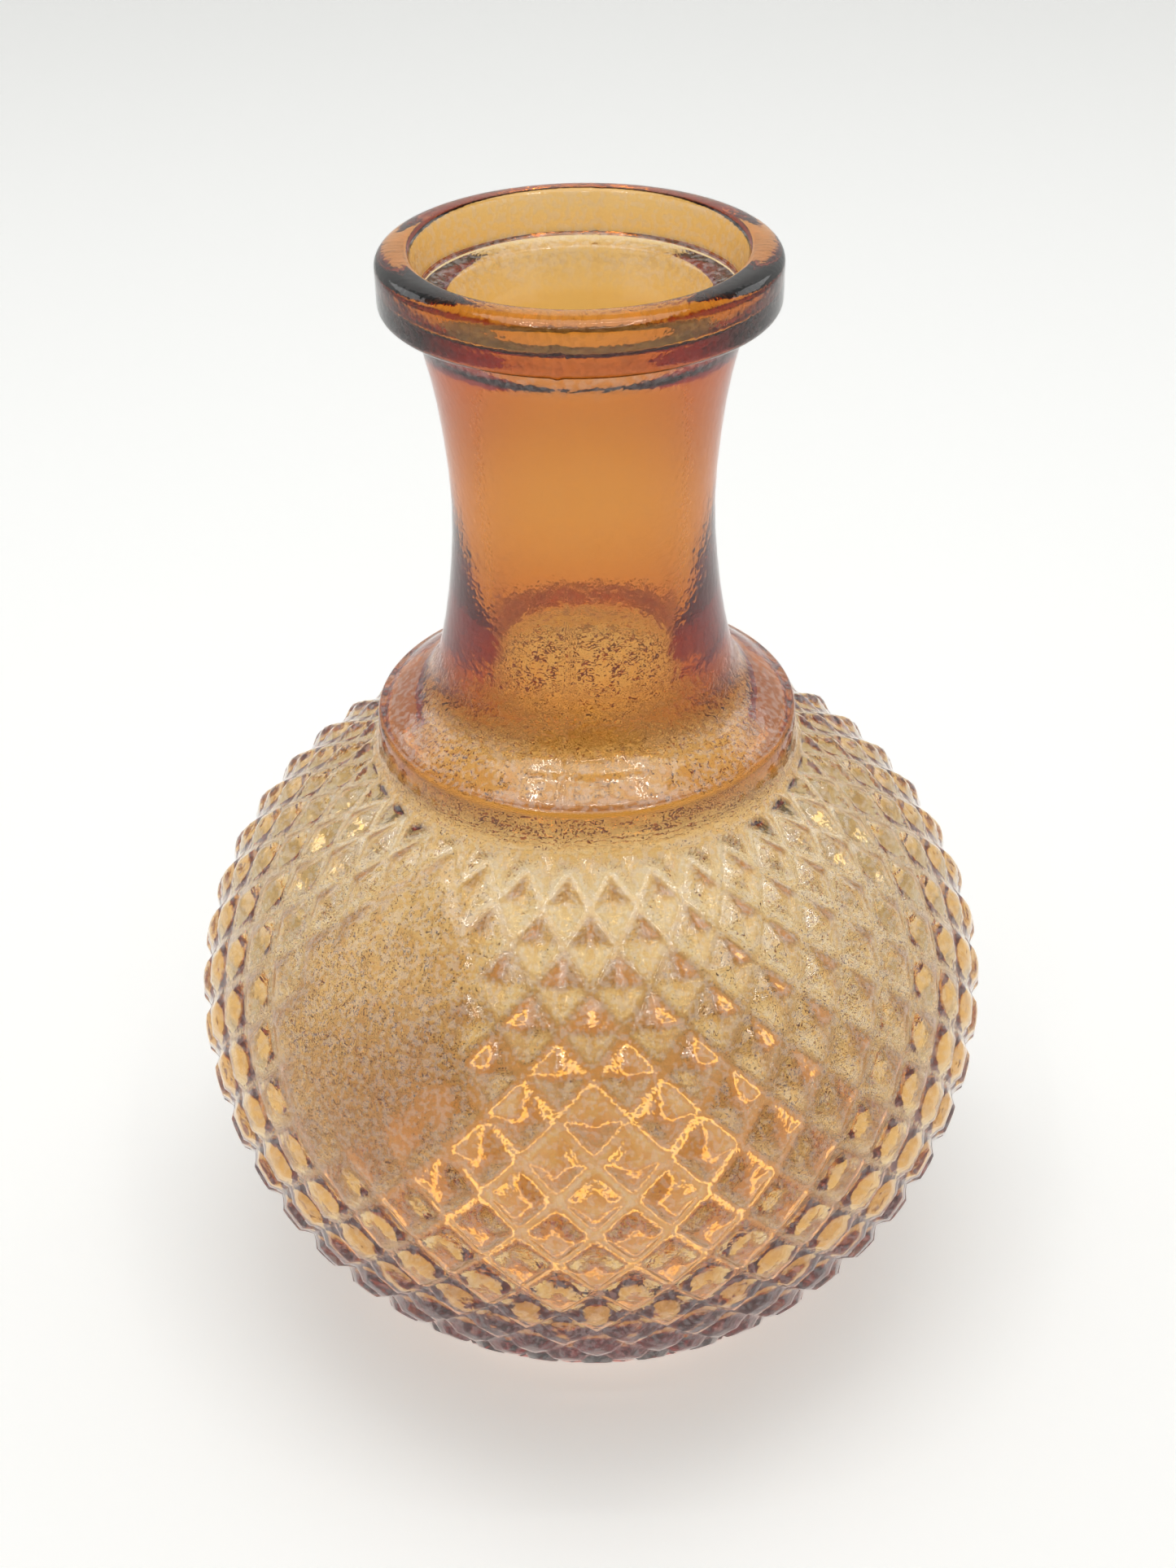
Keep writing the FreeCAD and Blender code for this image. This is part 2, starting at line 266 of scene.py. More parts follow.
# ---- the outline -----------------------------------------------------------------------------
class Outline:
    """Half of the vase's section: points from the foot's middle, up the outside, and down inside.

    Each point has a radius, a height, the row of diamonds it is on, how strongly they are pressed
    there, and how uneven the glass is."""

    def __init__(self):
        self.points = []
        self.rows = []
        self.relief = []
        self.uneven = []

    def add(self, radius, height, row=0.0, relief=0.0, uneven=0.0):
        self.points.append((max(radius, 0.0), 0.0, height))
        self.rows.append(row)
        self.relief.append(relief)
        self.uneven.append(uneven)

    def run(self, steps, place, **values):
        """Adds the points of a curve after its start. place gives a point for 0 to 1."""
        for step in range(1, steps + 1):
            self.add(*place(step / steps), **values)

    def here(self):
        radius, _, height = self.points[-1]
        return radius, height

    def line(self, steps, end, **values):
        start = self.here()
        self.run(steps, lambda t: [a + (b - a) * t for a, b in zip(start, end)], **values)

    def corner(self, steps, end, upright_first, **values):
        """A quarter round, or part of an ellipse, that starts upright or level."""
        start = self.here()

        def place(t):
            turn = t * math.pi / 2
            first, second = 1 - math.cos(turn), math.sin(turn)
            across, along = (first, second) if upright_first else (second, first)
            return start[0] + (end[0] - start[0]) * across, start[1] + (end[1] - start[1]) * along

        self.run(steps, place, **values)

    def spline(self, steps, knots, **values):
        """A smooth curve through the knots after the point it is at, of the Catmull-Rom kind."""
        chain = [self.here()] + list(knots)
        chain = [mirrored(chain[0], chain[1])] + chain + [mirrored(chain[-1], chain[-2])]
        for i in range(1, len(chain) - 2):
            self.run(steps, catmull_rom(chain[i - 1 : i + 3]), **values)


def mirrored(centre, point):
    return tuple(2 * c - p for c, p in zip(centre, point))


def catmull_rom(four):
    """The curve between the middle two of four points."""

    def place(t):
        weights = (
            (-t + 2 * t * t - t**3) / 2,
            (2 - 5 * t * t + 3 * t**3) / 2,
            (t + 4 * t * t - 3 * t**3) / 2,
            (-t * t + t**3) / 2,
        )
        return tuple(sum(w * p[axis] for w, p in zip(weights, four)) for axis in (0, 1))

    return place


def globe_outside(form, angle):
    """The globe's outer surface at an angle over its widest level, seen from its centre."""
    half = form.globe_above if angle > 0 else form.globe_below
    reach = 1 / math.hypot(math.cos(angle) / form.globe_radius, math.sin(angle) / half)
    return reach * math.cos(angle), form.globe_centre + reach * math.sin(angle)


def draw_foot(out, form, cut):
    """The foot from its middle to the heel, where the diamonds begin."""
    out.add(0.0, form.push_up)
    out.run(
        8,
        lambda t: (t * form.push_up_radius, form.push_up * (0.5 + 0.5 * math.cos(t * math.pi))),
    )
    out.line(2, (form.foot_ring - 1.5 * MM, 0.0))
    heel = globe_outside(form, cut.first_row - cut.rows_below * cut.row_step)
    out.spline(4, [(form.foot_ring + 1.0 * MM, 0.9 * MM), heel])


def draw_globe(out, form, cut):
    """The diamonds: mesh rows so spaced that every groove runs along mesh edges."""
    for step in range(-cut.rows_below * cut.steps + 1, cut.rows_above * cut.steps + 1):
        row = step / cut.steps
        out.add(*globe_outside(form, cut.first_row + row * cut.row_step), row=row, relief=1.0)


def draw_collar(out, form):
    """The fillet at the collar's foot, its upright side and its rounded upper edge."""
    start = out.here()
    edge = form.collar_radius - form.collar_round
    bend = (
        form.collar_radius + 0.3 * (start[0] - form.collar_radius),
        form.collar_bottom + 0.6 * (start[1] - form.collar_bottom),
    )
    out.spline(3, [bend, (form.collar_radius, form.collar_bottom)])
    out.line(4, (form.collar_radius, form.collar_edge - form.collar_round))
    out.corner(5, (edge, form.collar_edge), upright_first=True)


def draw_neck(out, form):
    """The collar's top, the neck's flared root, its waist and its flare to the band."""
    waist, level = form.waist_radius, form.waist_height
    out.line(3, (NECK_ROOT[1].x + 0.6 * MM, COLLAR_HIGH.z - 0.2 * MM))
    out.spline(
        3,
        [
            (NECK_ROOT[1].x - 1.9 * MM, COLLAR_HIGH.z + 1.2 * MM),
            (waist + 2.9 * MM, COLLAR_HIGH.z + 4.6 * MM),
            (waist + 0.9 * MM, level - 12.5 * MM),
            (waist, level),
            (waist + 1.2 * MM, level + 13.5 * MM),
            (form.neck_top_radius, BAND_LOW_Z - 0.6 * MM),
        ],
    )


def draw_band(out, form):
    """The thick band: a small fillet under it, flat sides and rounded edges."""
    low, high = form.band_round, LIP_HIGH.z - 0.65 * form.band_dome
    out.corner(3, (form.neck_top_radius + 0.8 * MM, BAND_LOW_Z), upright_first=True)
    out.line(2, (LIP_HIGH.x - low, BAND_LOW_Z))
    out.corner(5, (LIP_HIGH.x, BAND_LOW_Z + low), upright_first=False)
    out.line(5, (LIP_HIGH.x, high))
    out.corner(7, (LIP_HIGH.x - form.band_dome, LIP_HIGH.z), upright_first=True)
    out.line(2, (form.seat_top + form.mouth_round, LIP_HIGH.z))
    out.corner(5, (form.seat_top, LIP_HIGH.z - form.mouth_round), upright_first=False)


def draw_mouth(out, form):
    """Inside the mouth: the seat's wall, its ledge, the throat and the neck's bore."""
    out.line(5, (form.seat_bottom, form.seat_height + 0.7 * MM), uneven=0.3)
    out.corner(3, (form.seat_bottom - 0.7 * MM, form.seat_height), upright_first=True)
    out.line(3, (form.throat_radius + 0.6 * MM, form.throat_top + 0.05 * MM), uneven=0.3)
    out.corner(3, (form.throat_radius, form.throat_top - 0.6 * MM), upright_first=False)
    out.line(4, (form.throat_low_radius, form.throat_bottom), uneven=0.3)
    out.corner(5, (form.bore_radius, form.bore_top), upright_first=False, uneven=0.3)
    out.line(8, (form.bore_radius, NECK_ROOT[1].z), uneven=0.3)


def draw_hollow(out, form):
    """Inside the globe: from the bore, out over the shoulder, and down to the floor."""
    radius = form.globe_radius - form.globe_wall
    above = form.globe_above - form.globe_wall
    floor = form.floor_height
    drop = form.globe_centre - floor
    below = drop / math.sqrt(1 - (form.floor_radius / radius) ** 2)
    shoulder = (
        form.shoulder_inside,
        form.globe_centre + above * math.sqrt(1 - (form.shoulder_inside / radius) ** 2),
    )
    top = NECK_ROOT[1].z
    bell = [
        (form.bore_radius + 0.9 * MM, top - 2.6 * MM),
        (form.bore_radius + 3.6 * MM, top - 5.4 * MM),
        (form.bore_radius + 7.3 * MM, top - 8.2 * MM),
        (form.bore_radius + 10.6 * MM, top - 11.6 * MM),
        shoulder,
    ]
    out.spline(3, bell, uneven=0.8)
    start = math.acos(form.shoulder_inside / radius)
    end = -math.acos(form.floor_radius / radius)

    def place(t):
        turn = start + (end - start) * t
        half = above if turn > 0 else below
        return radius * math.cos(turn), form.globe_centre + half * math.sin(turn)

    out.run(44, place, uneven=1.0)
    out.line(6, (0.0, floor), uneven=0.0)


def outline_mesh(form, cut):
    """The half section as a chain of points, which the press tree turns into the vase."""
    out = Outline()
    draw_foot(out, form, cut)
    draw_globe(out, form, cut)
    draw_collar(out, form)
    draw_neck(out, form)
    draw_band(out, form)
    draw_mouth(out, form)
    draw_hollow(out, form)
    mesh = bpy.data.meshes.new("vase_outline")
    count = len(out.points)
    mesh.from_pydata(out.points, [(i, i + 1) for i in range(count - 1)], [])
    for name, values in (("row", out.rows), ("relief", out.relief), ("uneven", out.uneven)):
        mesh.attributes.new(name, "FLOAT", "POINT").data.foreach_set("value", values)
    outward = mesh.attributes.new("outward", "FLOAT_VECTOR", "POINT")
    for i, normal in enumerate(outward_normals(out.points)):
        outward.data[i].vector = normal
    return mesh


def outward_normals(points):
    """At each point of the outline, the direction out of the glass."""
    count = len(points)
    for i in range(count):
        before, after = Vector(points[max(i - 1, 0)]), Vector(points[min(i + 1, count - 1)])
        along = (after - before).normalized()
        yield along.z, 0.0, -along.x


# ---- the press: a Geometry Nodes tree --------------------------------------------------------
class PressTree:
    """Turns the outline, presses the diamonds and the mould seams, and makes the wall uneven."""

    def __init__(self):
        self.tree = bpy.data.node_groups.new("vase_press", "GeometryNodeTree")
        self.sums = Sums(self.tree)
        self.inputs = {}
        face = self.tree.interface
        face.new_socket("Outline", in_out="INPUT", socket_type="NodeSocketGeometry")
        for name, kind in (
            ("Columns", "Int"), ("Steps", "Int"), ("Rows Above", "Int"), ("Rows Below", "Int"),
            ("Relief", "Float"), ("Seam Height", "Float"), ("Seam Turn", "Float"),
            ("Ripple", "Float"), ("Seed", "Int"), ("Glass", "Material"),
        ):  # fmt: skip
            socket = face.new_socket(name, in_out="INPUT", socket_type=f"NodeSocket{kind}")
            self.inputs[name] = socket.identifier
        face.new_socket("Vase", in_out="OUTPUT", socket_type="NodeSocketGeometry")
        self.given = node(self.tree, "NodeGroupInput").outputs
        self.build()

    def sampled(self, kind, value):
        """A value of the outline at this vertex's station."""
        return node(
            self.tree, "GeometryNodeSampleIndex",
            {"Geometry": self.given["Outline"], "Value": value, "Index": self.station},
            data_type=kind,
        ).outputs[0]  # fmt: skip

    def attribute(self, name, kind="FLOAT"):
        return node(
            self.tree, "GeometryNodeInputNamedAttribute", {"Name": name}, data_type=kind
        ).outputs["Attribute"]

    def build(self):
        sums, given = self.sums, self.given
        size = node(
            self.tree, "GeometryNodeAttributeDomainSize", {"Geometry": given["Outline"]},
            component="MESH",
        )  # fmt: skip
        stations = size.outputs["Point Count"]
        around = sums("MULTIPLY", given["Columns"], given["Steps"])
        grid = node(
            self.tree, "GeometryNodeMeshGrid",
            {"Vertices X": sums("ADD", around, 1.0), "Vertices Y": stations},
        )  # fmt: skip
        index = node(self.tree, "GeometryNodeInputIndex").outputs[0]
        column = sums("FLOOR", sums("DIVIDE", sums("ADD", index, 0.5), stations))
        self.station = sums("SUBTRACT", index, sums("MULTIPLY", column, stations))
        stagger = sums("MULTIPLY", sums("MODULO", self.station, 2.0), 0.5)
        place = sums("DIVIDE", sums("ADD", column, stagger), given["Steps"])
        outline_place = node(self.tree, "GeometryNodeInputPosition").outputs[0]
        turned = node(
            self.tree, "GeometryNodeSetPosition",
            {"Geometry": grid.outputs["Mesh"],
             "Position": self.turn("FLOAT_VECTOR", outline_place, place)},
        )  # fmt: skip
        geometry = self.stored(turned.outputs[0], "place", place)
        for name in ("row", "relief", "uneven"):
            value = self.sampled("FLOAT", self.attribute(name))
            geometry = self.stored(geometry, name, value)
        outward = self.turn("FLOAT_VECTOR", self.attribute("outward", "FLOAT_VECTOR"), place)
        geometry = self.stored(geometry, "outward", outward, "FLOAT_VECTOR")
        pressed = node(
            self.tree, "GeometryNodeSetPosition",
            {"Geometry": geometry, "Offset": self.scaled(
                self.attribute("outward", "FLOAT_VECTOR"), self.height())},
        )  # fmt: skip
        merged = node(
            self.tree, "GeometryNodeMergeByDistance",
            {"Geometry": pressed.outputs[0], "Distance": 0.02 * MM},
        )  # fmt: skip
        split = node(
            self.tree, "GeometryNodeTriangulate", {"Mesh": merged.outputs[0]},
            quad_method="SHORTEST_DIAGONAL",
        )  # fmt: skip
        tidy = split.outputs[0]
        for name in ("place", "row", "relief", "uneven", "outward"):
            tidy = node(
                self.tree, "GeometryNodeRemoveAttribute", {"Geometry": tidy, "Name": name}
            ).outputs[0]
        soft = node(self.tree, "GeometryNodeSetShadeSmooth", {"Geometry": tidy})
        real = node(self.tree, "GeometryNodeRealizeInstances", {"Geometry": soft.outputs[0]})
        glazed = node(
            self.tree, "GeometryNodeSetMaterial",
            {"Geometry": real.outputs[0], "Material": given["Glass"]},
        )  # fmt: skip
        node(self.tree, "NodeGroupOutput", {"Vase": glazed.outputs[0]})

    def stored(self, geometry, name, value, kind="FLOAT"):
        return node(
            self.tree, "GeometryNodeStoreNamedAttribute",
            {"Geometry": geometry, "Name": name, "Value": value}, data_type=kind,
        ).outputs[0]  # fmt: skip

    def scaled(self, vector, amount):
        return node(
            self.tree, "ShaderNodeVectorMath", {0: vector, "Scale": amount}, operation="SCALE"
        ).outputs[0]

    def turn(self, kind, value, place):
        """A vector of the outline, turned about the vase's axis to a place, in columns."""
        vector = self.sampled(kind, value)
        turn = self.sums(
            "MULTIPLY", place, self.sums("DIVIDE", 2 * math.pi, self.given["Columns"])
        )
        return node(
            self.tree, "ShaderNodeVectorRotate",
            {"Vector": vector, "Axis": (0.0, 0.0, 1.0), "Angle": turn},
            rotation_type="AXIS_ANGLE",
        ).outputs[0]  # fmt: skip

    def height(self):
        """How far the surface stands out: diamonds, less where they were weakly pressed, seams
        and ripple."""
        sums, given = self.sums, self.given
        shape = sums("MULTIPLY", self.diamonds(), self.pressed())
        relief = sums("MULTIPLY", given["Relief"], shape)
        relief = sums("MULTIPLY", relief, self.attribute("relief"))
        return sums("ADD", sums("ADD", relief, self.seam()), self.ripple())

    def diamonds(self):
        """-1 in the grooves, 0 at the diamonds' tips.

        Low on the globe each diamond is a flat-topped pillow, and high on it a blunt point."""
        sums = self.sums
        half_row = sums("MULTIPLY", self.attribute("row"), 0.5)
        rising = sums("ADD", self.attribute("place"), half_row)
        falling = sums("SUBTRACT", self.attribute("place"), half_row)
        up, down = sums("FRACT", rising), sums("FRACT", falling)
        nearest = sums(
            "MINIMUM",
            sums("MINIMUM", up, sums("SUBTRACT", 1.0, up)),
            sums("MINIMUM", down, sums("SUBTRACT", 1.0, down)),
        )
        groove = sums("DIVIDE", 1.0, self.given["Steps"])
        slope = sums("MAXIMUM", 0.0, sums("SUBTRACT", sums("MULTIPLY", nearest, 2.0), groove))
        pointed = sums("SMOOTH_MIN", 1.0, sums("MULTIPLY", slope, 1.3), 0.4)
        pillow = sums("SMOOTH_MIN", 1.0, sums("MULTIPLY", slope, 3.0), 0.6)
        share = sums.smooth(self.attribute("row"), -2.0, 5.0)
        shape = sums(
            "ADD", sums("MULTIPLY", pointed, share),
            sums("MULTIPLY", pillow, sums("SUBTRACT", 1.0, share)),
        )  # fmt: skip
        centre = sums("SUBTRACT", sums("FLOOR", rising), sums("FLOOR", falling))
        margin = sums(
            "MINIMUM", 1.0, sums("MULTIPLY", sums("MINIMUM", up, sums("SUBTRACT", 1.0, down)), 2.4)
        )
        margin = sums.smooth(margin, 0.0, 1.0)
        top = sums("GREATER_THAN", centre, sums("SUBTRACT", self.given["Rows Above"], 0.5))
        plain = sums("GREATER_THAN", centre, sums("ADD", self.given["Rows Above"], 0.5))
        shape = self.chosen(top, shape, margin)
        shape = self.chosen(plain, shape, 1.0)
        return sums("SUBTRACT", shape, 1.0)

    def chosen(self, test, no, yes):
        return self.sums(
            "ADD", self.sums("MULTIPLY", test, yes),
            self.sums("MULTIPLY", self.sums("SUBTRACT", 1.0, test), no),
        )  # fmt: skip

    def pressed(self):
        """1 where the mould pressed fully, almost 0 in one patch that stayed too cool."""
        sums = self.sums
        columns = self.given["Columns"]
        middle = sums("MULTIPLY", columns, PATCH_TURN)
        across = sums("SUBTRACT", self.attribute("place"), middle)
        across = sums("DIVIDE", across, PATCH_COLUMNS)
        along = sums("DIVIDE", sums("SUBTRACT", self.attribute("row"), PATCH_ROW), PATCH_ROWS)
        where = node(self.tree, "GeometryNodeInputPosition").outputs[0]
        wobble = node(
            self.tree, "ShaderNodeTexNoise",
            {"Vector": where, "Scale": 90.0, "Detail": 1.0},
        ).outputs["Fac"]  # fmt: skip
        away = sums("SQRT", sums("ADD", sums("POWER", across, 2.0), sums("POWER", along, 2.0)))
        away = sums("ADD", away, sums("MULTIPLY", sums("SUBTRACT", wobble, 0.5), 0.7))
        return sums("ADD", 0.06, sums("MULTIPLY", sums.smooth(away, 0.6, 1.25), 0.94))

    def seam(self):
        """A fine upright ridge at two opposite places, away from the diamonds.

        It dies away on the foot ring, which has to stand level, and on the fire-polished lip. It is
        not kept off the axis: a trace of it crosses the floor inside and the push-up."""
        sums = self.sums
        half = sums("DIVIDE", self.given["Columns"], 2.0)
        turn = sums("DIVIDE", self.given["Seam Turn"], 2 * math.pi)
        start = sums("MULTIPLY", self.given["Columns"], sums("ADD", 0.75, turn))
        across = sums("PINGPONG", sums("SUBTRACT", self.attribute("place"), start), half)
        across = sums("MINIMUM", across, sums("SUBTRACT", half, across))
        ridge = sums("SUBTRACT", 1.0, sums.smooth(across, 0.0, 0.16))
        plain = sums("SUBTRACT", 1.0, self.attribute("relief"))
        outer = sums("LESS_THAN", self.attribute("uneven"), 0.05)
        where = node(self.tree, "GeometryNodeInputPosition").outputs[0]
        level = node(self.tree, "ShaderNodeSeparateXYZ", {"Vector": where}).outputs["Z"]
        foot = sums.smooth(level, 0.5 * MM, 3 * MM)
        lip = sums("SUBTRACT", 1.0, sums.smooth(level, LIP_HIGH.z - 4 * MM, LIP_HIGH.z - 1 * MM))
        ridge = sums("MULTIPLY", sums("MULTIPLY", ridge, outer), plain)
        ridge = sums("MULTIPLY", ridge, sums("MULTIPLY", foot, lip))
        return sums("MULTIPLY", ridge, self.given["Seam Height"])

    def ripple(self):
        """The blown inside is uneven: long swells and shorter creases."""
        where = node(self.tree, "GeometryNodeInputPosition").outputs[0]
        swell = node(
            self.tree, "ShaderNodeTexNoise",
            {"Vector": where, "W": self.given["Seed"], "Scale": 130.0, "Detail": 3.0,
             "Roughness": 0.6},
            noise_dimensions="4D",
        ).outputs["Fac"]  # fmt: skip
        amount = self.sums("MULTIPLY", self.given["Ripple"], self.attribute("uneven"))
        swing = self.sums("MULTIPLY", self.sums("SUBTRACT", swell, 0.5), 4.0)
        return self.sums("MULTIPLY", swing, amount)


def pressed_vase(form, cut, glass):
    """Runs the press tree on the outline and keeps its result as a plain mesh."""
    press = PressTree()
    blank = bpy.data.objects.new("vase_outline", outline_mesh(form, cut))
    bpy.context.scene.collection.objects.link(blank)
    modifier = blank.modifiers.new("press", "NODES")
    modifier.node_group = press.tree
    for name, value in (
        ("Columns", cut.columns), ("Steps", cut.steps), ("Rows Above", cut.rows_above),
        ("Rows Below", cut.rows_below), ("Relief", cut.relief), ("Seam Height", cut.seam_height),
        ("Seam Turn", cut.seam_turn), ("Ripple", cut.ripple), ("Seed", cut.seed),
        ("Glass", glass),
    ):  # fmt: skip
        modifier[press.inputs[name]] = value
    evaluated = blank.evaluated_get(bpy.context.evaluated_depsgraph_get())
    mesh = bpy.data.meshes.new_from_object(evaluated)
    bpy.data.objects.remove(blank)
    vase = bpy.data.objects.new("glass_vase", mesh)
    bpy.context.scene.collection.objects.link(vase)
    return vase


# ---- the glass -------------------------------------------------------------------------------
def outer_skin(sums, form, radius, level):
    """1 on the outside of the globe and all over the collar, neck and mouth, 0 in the hollow."""
    rise = sums("SUBTRACT", level, form.globe_centre)
    over = sums("GREATER_THAN", rise, 0.0)
    half = sums(
        "ADD", form.globe_below, sums("MULTIPLY", over, form.globe_above - form.globe_below)
    )
    tall = sums("POWER", sums("ABSOLUTE", sums("DIVIDE", rise, half)), 2.0)
    wide = sums("POWER", sums("DIVIDE", radius, form.globe_radius), 2.0)
    between = 1 - 0.78 * form.globe_wall / form.globe_radius
    return sums("GREATER_THAN", sums("ADD", tall, wide), between * between)


def amber_glass(look, form):
    """Soda glass tinted amber in the melt, pressed and fire-polished.

    It is clear and gets deeper in colour where it is thick, because the colour is in its volume.
    The mould leaves a fine orange peel, which breaks up reflections, and where it was cool a satin
    skin. The pale bloom on the globe, the collar's top and the mouth is partly that skin and partly
    painted reflection: a white layer standing in for the overhead light mirrored there."""
    glass = bpy.data.materials.new("amber_pressed_glass")
    glass.use_nodes = True
    tree = glass.node_tree
    tree.nodes.clear()
    sums = Sums(tree)
    where = node(tree, "ShaderNodeTexCoord").outputs["Object"]
    level = node(tree, "ShaderNodeSeparateXYZ", {"Vector": where}).outputs["Z"]
    flat = node(
        tree, "ShaderNodeVectorMath", {0: where, 1: (1.0, 1.0, 0.0)}, operation="MULTIPLY"
    ).outputs[0]  # fmt: skip
    radius = node(tree, "ShaderNodeVectorMath", {0: flat}, operation="LENGTH").outputs["Value"]
    fillet = form.collar_bottom - 2 * MM
    globe = sums("SUBTRACT", 1.0, sums.smooth(level, fillet, form.collar_bottom))
    ledge = sums(
        "MULTIPLY", sums.smooth(level, form.collar_edge - 0.4 * MM, form.collar_edge),
        sums("SUBTRACT", 1.0, sums.smooth(level, COLLAR_HIGH.z, COLLAR_HIGH.z + 3 * MM)),
    )  # fmt: skip
    mouth = sums(
        "MULTIPLY", sums("LESS_THAN", radius, form.seat_top + 0.2 * MM),
        sums.smooth(level, BAND_LOW_Z - 5 * MM, BAND_LOW_Z),
    )  # fmt: skip
    out = outer_skin(sums, form, radius, level)
    peel = node(
        tree, "ShaderNodeTexNoise",
        {"Vector": where, "Scale": 1 / look.peel, "Detail": 1.0, "Roughness": 0.5},
    ).outputs["Fac"]  # fmt: skip
    chill = node(
        tree, "ShaderNodeTexNoise",
        {"Vector": where, "Scale": 1 / look.chill, "Detail": 2.0, "Distortion": 1.6},
    ).outputs["Fac"]  # fmt: skip
    bell = sums(
        "MULTIPLY", sums.smooth(level, NECK_ROOT[0].z - 12 * MM, NECK_ROOT[0].z - 4 * MM),
        sums("SUBTRACT", 1.0, sums.smooth(level, NECK_ROOT[1].z, NECK_ROOT[1].z + 3 * MM)),
    )  # fmt: skip
    bell = sums("MULTIPLY", bell, sums("LESS_THAN", radius, form.neck_top_radius))
    wrinkled = sums(
        "ADD", sums("MULTIPLY", bell, WRINKLES_ROOT), sums("MULTIPLY", globe, WRINKLES_GLOBE)
    )
    bump = node(
        tree, "ShaderNodeBump",
        {"Strength": 0.3, "Distance": 0.1 * MM,
         "Height": sums("ADD", peel, sums("MULTIPLY", chill, wrinkled))},
    )  # fmt: skip
    # Painted reflection in part: a white diffuse veil, raised high on the globe, on the collar's
    # top and in the mouth, where overhead light is mirrored. Its grain mixes the real texture with
    # painted glints.
    grain = sums.smooth(peel, 0.45, 0.6)
    shoulder = sums.smooth(level, 55 * MM, 85 * MM)
    skin_and_sheen = sums("ADD", GLOBE_SKIN_AND_SHEEN, sums("MULTIPLY", shoulder, SHOULDER_SKIN_AND_SHEEN))
    dull_and_sheen = sums("MULTIPLY", sums("MULTIPLY", globe, out), skin_and_sheen)
    dull_and_sheen = sums("ADD", dull_and_sheen, sums("MULTIPLY", ledge, LEDGE_SKIN_AND_SHEEN))
    dull_and_sheen = sums("ADD", dull_and_sheen, sums("MULTIPLY", mouth, MOUTH_SKIN_AND_SHEEN))
    dull_and_sheen = sums("ADD", dull_and_sheen, ELSEWHERE_SKIN_AND_SHEEN)
    haze_and_sheen = sums("MULTIPLY", dull_and_sheen, sums("ADD", HAZE_AND_SHEEN_EVEN, sums("MULTIPLY", grain, HAZE_AND_SHEEN_GRAIN)))
    # The white base colour is the veil, partly satin skin and partly painted reflection, shown
    # where the transmission is held back.
    skin = node(
        tree, "ShaderNodeBsdfPrincipled",
        {"Base Color": (1.0, 1.0, 1.0, 1.0), "Roughness": look.roughness, "IOR": look.ior,
         "Transmission Weight": sums("SUBTRACT", 1.0, haze_and_sheen),
         "Normal": bump.outputs["Normal"]},
    )  # fmt: skip
    body = node(
        tree, "ShaderNodeVolumeAbsorption",
        {"Color": hex_colour(look.tint), "Density": look.depth},
    )  # fmt: skip
    node(
        tree, "ShaderNodeOutputMaterial",
        {"Surface": skin.outputs["BSDF"], "Volume": body.outputs["Volume"]},
    )  # fmt: skip
    return glass


class VASE_OT_press(bpy.types.Operator):
    """Presses and blows the whole vase in one piece of glass"""

    bl_idname = "vase.press"
    bl_label = "Press the vase"

    def execute(self, context):
        scene = context.scene
        glass = amber_glass(scene.vase_glass, scene.vase_form)
        vase = pressed_vase(scene.vase_form, scene.vase_diamonds, glass)
        if not vase.data.polygons:
            raise RuntimeError("the press tree made no glass")
        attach(vase, "root")
        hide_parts(*ZONES)
        return {"FINISHED"}


# ---- the stage -------------------------------------------------------------------------------
def paper_stage(look):
    """White acrylic sheet, matt and faintly lit from below: a floor that curves up behind.

    Under the foot it glows a little more and warmer. This is painted caustic light: an emission
    patch standing in for the light the glass throws on the floor, which also shows the lattice
    through the glass."""
    paper = bpy.data.materials.new("lit_white_acrylic")
    paper.use_nodes = True
    shader = paper.node_tree.nodes["Principled BSDF"]
    shader.inputs["Base Color"].default_value = hex_colour(look.paper)
    shader.inputs["Roughness"].default_value = 0.9
    shader.inputs["Specular IOR Level"].default_value = 0.1
    tree = paper.node_tree
    sums = Sums(tree)
    where = node(tree, "ShaderNodeTexCoord").outputs["Object"]
    radius = node(tree, "ShaderNodeVectorMath", {0: where}, operation="LENGTH").outputs["Value"]
    # Painted caustic light under the foot, full within the core and fading out to the glow radius.
    caustic_glow = sums("SUBTRACT", 1.0, sums.smooth(radius, look.glow_core, look.glow_radius))
    tone = node(
        tree, "ShaderNodeMix",
        {"Factor": caustic_glow, MIX_COLOUR_A: hex_colour(look.paper),
         MIX_COLOUR_B: hex_colour(look.glow)},
        data_type="RGBA",
    )  # fmt: skip
    tree.links.new(tone.outputs[MIX_COLOUR_RESULT], shader.inputs["Emission Color"])
    strength = sums("ADD", look.backlight, sums("MULTIPLY", caustic_glow, look.glow_strength))
    tree.links.new(strength, shader.inputs["Emission Strength"])
    half, back, bend, top, bend_steps = 1.6, 1.2, 0.5, 1.6, 12
    section = [(-half, 0.0)]
    for step in range(bend_steps + 1):
        turn = step / bend_steps * math.pi / 2
        section.append((back + bend * math.sin(turn), bend * (1 - math.cos(turn))))
    section.append((back + bend, top))
    points = [(x, y, z) for y, z in section for x in (-2 * half, 2 * half)]
    faces = [(2 * i, 2 * i + 1, 2 * i + 3, 2 * i + 2) for i in range(len(section) - 1)]
    mesh = bpy.data.meshes.new("paper_floor")
    mesh.from_pydata(points, [], faces)
    mesh.shade_smooth()
    mesh.materials.append(paper)
    floor = bpy.data.objects.new("paper_floor", mesh)
    bpy.context.scene.collection.objects.link(floor)


